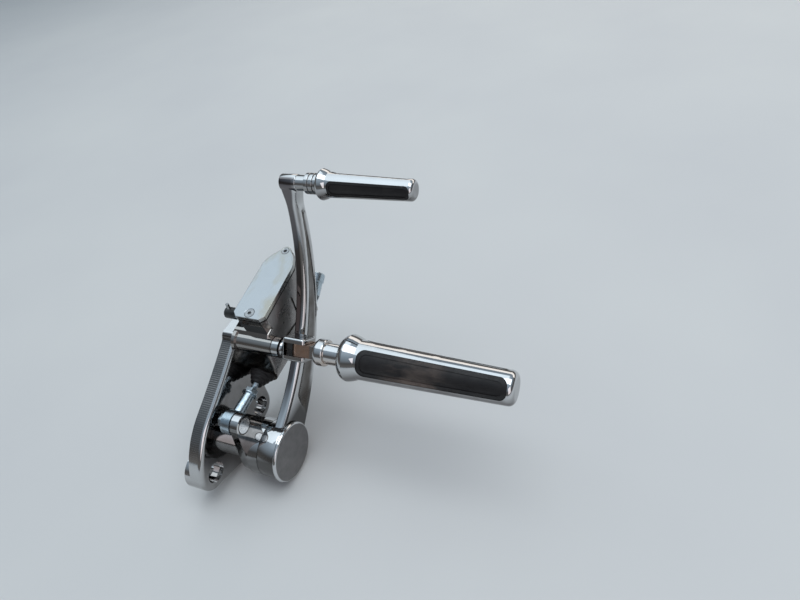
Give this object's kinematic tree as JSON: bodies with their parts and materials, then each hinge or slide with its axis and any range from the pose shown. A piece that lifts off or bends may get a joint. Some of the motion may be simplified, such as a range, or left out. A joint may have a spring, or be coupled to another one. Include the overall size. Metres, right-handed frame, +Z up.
{
  "type": "motorcycle forward foot control",
  "caption": "Right-hand forward foot control of a custom motorcycle: frame bracket with brake master cylinder, curved brake pedal with toe peg, and folding footpeg.",
  "frame": {"origin": "where the pedal's pivot axis meets the mount face, midway between the two frame bolts", "axes": "+X outboard from the frame along the pivot axis, +Y forward, +Z up"},
  "size_m": [0.2515, 0.2075, 0.2227],
  "materials": {
    "chrome": "polished plating",
    "worn_chrome": "dull, scuffed",
    "zinc": "bright zinc",
    "screw_steel": "satin",
    "black_rubber": "matt",
    "black_plastic": "matt"
  },
  "bodies": {
    "bracket": {"bracket_plate": "chrome", "master_cylinder": "chrome", "reservoir_gasket": "black_rubber", "reservoir_cover": "chrome", "cover_screw_rear": "screw_steel", "cover_screw_front": "screw_steel", "housing_screws": "screw_steel", "line_fitting": "zinc", "boot": "black_rubber", "pivot_stud": "screw_steel", "peg_clevis": "chrome", "clevis_pin": "screw_steel", "switch_stem": "zinc", "switch_body": "black_plastic", "switch_terminal": "screw_steel"},
    "pedal": {"pedal_arm": "chrome", "pedal_lever": "chrome", "hub_cap": "worn_chrome", "lever_bolt": "screw_steel", "lever_nut": "zinc", "rod_ball": "zinc", "toe_peg_stem": "chrome", "toe_peg_bolt": "screw_steel", "toe_peg_body": "chrome", "toe_peg_inlay_rear": "black_rubber", "toe_peg_inlay_low": "black_rubber", "toe_peg_inlay_front": "black_rubber"},
    "pushrod_assembly": {"rod_end": "zinc", "jam_nut": "zinc", "pushrod": "zinc"},
    "footpeg": {"footpeg_tongue": "chrome", "footpeg_body": "chrome", "footpeg_inlay_rear": "black_rubber", "footpeg_inlay_low": "black_rubber", "footpeg_inlay_front": "black_rubber"}
  },
  "joints": [
    {"name": "pedal_pivot", "type": "hinge", "parent": "bracket", "child": "pedal", "pos_m": [0, 0, 0], "axis": [-1, 0, 0], "range_deg": [0, 14], "stiffness_Nm_per_rad": 3, "springref_deg": -28.65},
    {"name": "pushrod_slide", "type": "slide", "parent": "bracket", "child": "pushrod_assembly", "axis": [0, 0.9962, 0.0872], "range_m": [0, 0.0091], "deforming": ["boot"]},
    {"name": "footpeg_fold", "type": "hinge", "parent": "bracket", "child": "footpeg", "pos_m": [0.08, 0.0476, 0.0766], "axis": [0, -0.5592, -0.829], "range_deg": [0, 85]}
  ],
  "couplings": [
    {"joint": "pushrod_slide", "follows": "pedal_pivot", "m_per_rad": 0.0369}
  ]
}
